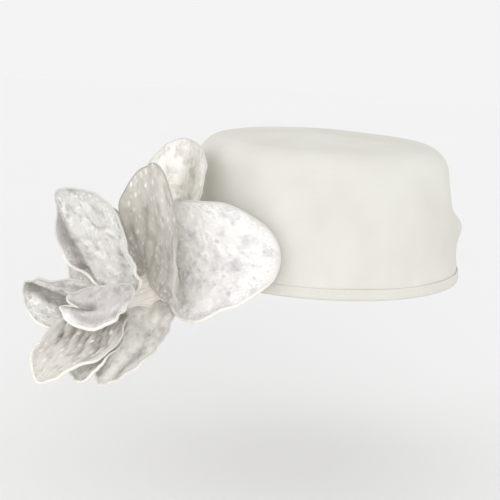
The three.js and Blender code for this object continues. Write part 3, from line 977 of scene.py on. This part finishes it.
def cut_out(petal, finish):
    """The petal's cloth: a square grid made round, bent to its shape, with the figure raised on it."""
    bm = bmesh.new()
    steps_across = round(petal.width / PETAL_MESH)
    steps_along = round(petal.length / PETAL_MESH)
    bmesh.ops.create_grid(bm, x_segments=steps_across, y_segments=steps_along, size=1)
    square = np.array([vert.co[:2] for vert in bm.verts])
    x = square[:, 0] * np.sqrt(1 - square[:, 1] ** 2 / 2)
    y = square[:, 1] * np.sqrt(1 - square[:, 0] ** 2 / 2)
    side, along = petal_cut(petal, x, y)
    figure = finish.figure(petal, side, along, x, y)
    points = petal_points(petal, x, y, RELIEF * figure)
    # The fold depth is kept for the painted shade in the folds.
    kept = {"figure": figure, "painted_fold_shade": fold_depth(petal, side, along)}
    layers = {name: bm.verts.layers.float.new(name) for name in kept}
    for index, vert in enumerate(bm.verts):
        vert.co = points[index]
        for name, layer in layers.items():
            vert[layer] = kept[name][index]
    bm.verts.index_update()
    cut = bm.loops.layers.uv.new("cut")
    for face in bm.faces:
        for loop in face.loops:
            loop[cut].uv = (side[loop.vert.index] * MM, along[loop.vert.index] * MM)
    bmesh.ops.transform(bm, matrix=petal_place(petal), verts=bm.verts)
    cloth = finish_piece(bm, petal.name + "_cloth", finish.material)
    thicken(cloth, PETAL_CLOTH * MM, BOTH_SIDES)
    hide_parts(petal.name)
    return cloth


def lowness(place, middle):
    """0 at the upper edge of a petal and 1 at its lower edge, by the way from its middle."""
    return smooth_step(*LOW_FADES, -(place - middle).normalized().z)


def roll_edge(petal, material):
    """The petal's rolled edge: a round of satin along its rim, fuller below."""
    turns = np.linspace(0, math.tau, PIPING_STEPS, endpoint=False)
    rim = petal_points(petal, np.sin(turns), np.cos(turns), np.zeros(PIPING_STEPS))
    places = [petal_place(petal) @ Vector(place) for place in rim]
    middle = sum(places, Vector()) / PIPING_STEPS
    curve = bpy.data.curves.new("piping", "CURVE")
    curve.dimensions = "3D"
    curve.bevel_depth = PIPING_RADIUS * MM
    curve.bevel_resolution = 2
    spline = curve.splines.new("POLY")
    spline.points.add(PIPING_STEPS - 1)
    spline.use_cyclic_u = True
    for point, place in zip(spline.points, places):
        point.co = (*place, 1)
        point.radius = 1 + PIPING_FULLER_BELOW * lowness(place, middle)
    drawn = bpy.data.objects.new("piping", curve)
    bm = bmesh.new()
    bm.from_mesh(bpy.data.meshes.new_from_object(drawn))
    bmesh.ops.remove_doubles(bm, verts=bm.verts, dist=MERGE)
    # How low each place of the edge lies, which sets its painted light and shade.
    low = bm.verts.layers.float.new("low")
    for vert in bm.verts:
        vert[low] = lowness(vert.co, middle)
    return finish_piece(bm, petal.name + "_edge", material)


finishes = {finish.name: finish for finish in rows_as_pieces(FINISH_COLUMNS, FINISH_ROWS)}
for finish in finishes.values():
    finish.material = figured_cloth(finish)
pipings = {edging.name: satin_piping(edging) for edging in rows_as_pieces(PIPING_COLUMNS, PIPING_ROWS)}
folds = rows_as_pieces(FOLD_COLUMNS, FOLD_ROWS)
petals = rows_as_pieces(SHAPE_COLUMNS, SHAPE_ROWS)
for petal, cut_from in zip(petals, rows_as_pieces(CLOTH_COLUMNS, CLOTH_ROWS)):
    vars(petal).update(vars(cut_from))
    finish = finishes[petal.finish]
    cloth = cut_out(petal, finish)
    edge = roll_edge(petal, pipings[petal.edging])

# Comb. A small horn-coloured plastic comb lies inside the rim at the front, its curved spine against
# the hem and its teeth towards the middle, and is sewn to the hem with loops of ivory thread.
COMB_HALF_ANGLE = math.radians(20)
COMB_SPINE = 4 * MM
COMB_TEETH = 11
COMB_THICKNESS = 1.8 * MM
COMB_MIDDLE = 1.5 * MM
COMB_CURVE_STEPS = 30
COMB_ROUNDING = 0.5 * MM
SPINE_CLEAR = 1.8 * MM
SPINE_OUT = RIM_HALF_DEPTH - CROWN_CLOTH - SPINE_CLEAR
TOOTH_LENGTH = 25 * MM
TOOTH_ROOT = 1 * MM
TOOTH_RADIUS = 0.9 * MM
TOOTH_TIP_RADIUS = 0.45 * MM
TOOTH_SIDES = 12
LOOP_RADIUS = 2.3 * MM
LOOP_THREAD = 0.32 * MM
LOOP_SIDES = 6
LOOP_STEPS = 20
LOOPS_INSIDE = 0.98
HORN_SHADE = (206, 190, 158)
HORN_LIGHT = (232, 222, 200)
HORN_ROUGHNESS = 0.28
HORN_CLOUDS = 120
HORN_EMBOSS = 0.1
HORN_RELIEF = 0.3 * MM

bm = bmesh.new()
section = bmesh.ops.create_grid(bm, x_segments=1, y_segments=1, size=0.5)["verts"]
upright = Matrix.Rotation(math.pi / 2, 4, "X")
shape = Matrix.Diagonal((COMB_SPINE, COMB_THICKNESS, 1, 1))
to_place = Matrix.Translation((SPINE_OUT - COMB_SPINE / 2, 0, COMB_MIDDLE)) @ upright @ shape
start = Matrix.Rotation(-math.pi / 2 - COMB_HALF_ANGLE, 4, "Z")
bmesh.ops.transform(bm, matrix=start @ to_place, verts=section)
swept = bm.verts[:] + bm.edges[:] + bm.faces[:]
bmesh.ops.spin(
    bm, geom=swept, cent=(0, 0, 0), axis=(0, 0, 1), angle=2 * COMB_HALF_ANGLE, steps=COMB_CURVE_STEPS
)
bmesh.ops.recalc_face_normals(bm, faces=bm.faces)
lying = Matrix.Rotation(-math.pi / 2, 4, "Y")
tooth_middle = Matrix.Translation((SPINE_OUT - COMB_SPINE - TOOTH_LENGTH / 2, 0, COMB_MIDDLE))
for tooth in range(COMB_TEETH):
    turn = -math.pi / 2 + COMB_HALF_ANGLE * ((2 * tooth + 1) / COMB_TEETH - 1)
    bmesh.ops.create_cone(
        bm, cap_ends=True, segments=TOOTH_SIDES, radius1=TOOTH_RADIUS, radius2=TOOTH_TIP_RADIUS,
        depth=TOOTH_LENGTH + TOOTH_ROOT, matrix=Matrix.Rotation(turn, 4, "Z") @ tooth_middle @ lying,
    )
horn, tree, shader = new_finish("horn_plastic", HORN_ROUGHNESS, 0)
clouds = speckle(tree, object_place(tree), HORN_CLOUDS, detail=3)
paint(tree, shader, clouds, dye(HORN_SHADE), dye(HORN_LIGHT))
emboss(tree, shader, clouds, HORN_EMBOSS, HORN_RELIEF)
comb = finish_piece(bm, "comb_horn", horn)
soften = comb.modifiers.new("soften", "BEVEL")
soften.width = COMB_ROUNDING
soften.segments = 3
soften.limit_method = "ANGLE"
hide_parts("comb")

bm = bmesh.new()
at_spine = Matrix.Translation((SPINE_OUT - LOOP_RADIUS / 2, 0, COMB_MIDDLE))
for gap in range(COMB_TEETH + 1):
    turn = -math.pi / 2 + COMB_HALF_ANGLE * (2 * gap / COMB_TEETH - 1) * LOOPS_INSIDE
    ring = bmesh.ops.create_circle(bm, segments=LOOP_SIDES, radius=LOOP_THREAD)["verts"]
    ring_edges = list({edge for vert in ring for edge in vert.link_edges})
    bmesh.ops.translate(bm, verts=ring, vec=(LOOP_RADIUS, 0, 0))
    bmesh.ops.rotate(bm, verts=ring, cent=(LOOP_RADIUS, 0, 0), matrix=upright.to_3x3())
    bmesh.ops.spin(
        bm, geom=ring + ring_edges, cent=(0, 0, 0), axis=(0, 0, 1), angle=math.tau, steps=LOOP_STEPS,
        use_merge=True,
    )
    new_loop = [vert for vert in bm.verts if vert.co.length < 2 * LOOP_RADIUS]
    bmesh.ops.transform(bm, matrix=Matrix.Rotation(turn, 4, "Z") @ at_spine @ upright, verts=new_loop)
bmesh.ops.remove_doubles(bm, verts=bm.verts, dist=MERGE)
bmesh.ops.recalc_face_normals(bm, faces=bm.faces)
finish_piece(bm, "comb_thread", thread)

# Studio. A plain pale floor lies some way below the lowest petal, under soft white light from all
# round and two large soft lights from the front, and the camera stands where the viewer's eye is.
FLOOR_BELOW = 50 * MM
FLOOR_HALF = 3.0
FLOOR_SHADE = (242, 242, 242)
FLOOR_LIGHT = (244, 244, 244)
FLOOR_ROUGHNESS = 0.9
FLOOR_CLOUDS = 3
LAMP_COLUMNS = ("name", "comes_from", "strength")
LAMP_ROWS = (
    ("key", Vector((0.15, -1, 0.2)), 0.95),
    ("fill", Vector((-1, -0.25, 0.15)), 0.5),
)
LIGHT_SOFTNESS = math.radians(50)
ROOM_WHITE = (1, 1, 1, 1)
ROOM_LIGHT = 0.9
EYE = Vector((-20, -632, 134)) * MM
EYE_ROLL = math.radians(3.7)
EYE_NEAREST = 10 * MM
FRAME_WIDE = 268 * MM
SENSOR = 36

hat_low, hat_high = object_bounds()
hat_middle = (hat_low + hat_high) / 2
bm = bmesh.new()
bmesh.ops.create_grid(bm, x_segments=1, y_segments=1, size=FLOOR_HALF)
bmesh.ops.translate(bm, verts=bm.verts, vec=(0, 0, hat_low.z - FLOOR_BELOW))
floor_mesh = bpy.data.meshes.new("floor")
bm.to_mesh(floor_mesh)
bm.free()
pale_floor, tree, shader = new_finish("pale_floor", FLOOR_ROUGHNESS, 0)
clouds = speckle(tree, object_place(tree), FLOOR_CLOUDS, detail=2)
paint(tree, shader, clouds, dye(FLOOR_SHADE), dye(FLOOR_LIGHT))
floor_mesh.materials.append(pale_floor)
floor = bpy.data.objects.new("floor", floor_mesh)
bpy.context.scene.collection.objects.link(floor)

for lamp in rows_as_pieces(LAMP_COLUMNS, LAMP_ROWS):
    light = bpy.data.lights.new(lamp.name, "SUN")
    light.energy = lamp.strength
    light.angle = LIGHT_SOFTNESS
    hung = bpy.data.objects.new(lamp.name, light)
    hung.rotation_mode = "QUATERNION"
    hung.rotation_quaternion = lamp.comes_from.to_track_quat("Z", "Y")
    bpy.context.scene.collection.objects.link(hung)

world = bpy.data.worlds.new("studio")
world.use_nodes = True
room = world.node_tree.nodes["Background"]
room.inputs["Color"].default_value = ROOM_WHITE
room.inputs["Strength"].default_value = ROOM_LIGHT
bpy.context.scene.world = world
bpy.context.scene.view_settings.view_transform = "Standard"

lens = bpy.data.cameras.new("camera")
lens.sensor_width = SENSOR
lens.lens = SENSOR * (hat_middle - EYE).length / FRAME_WIDE
lens.clip_start = EYE_NEAREST
camera = bpy.data.objects.new("camera", lens)
camera.location = EYE
camera.rotation_mode = "QUATERNION"
looking = (hat_middle - EYE).to_track_quat("-Z", "Y")
camera.rotation_quaternion = looking @ Quaternion((0, 0, 1), EYE_ROLL)
bpy.context.scene.collection.objects.link(camera)
bpy.context.scene.camera = camera
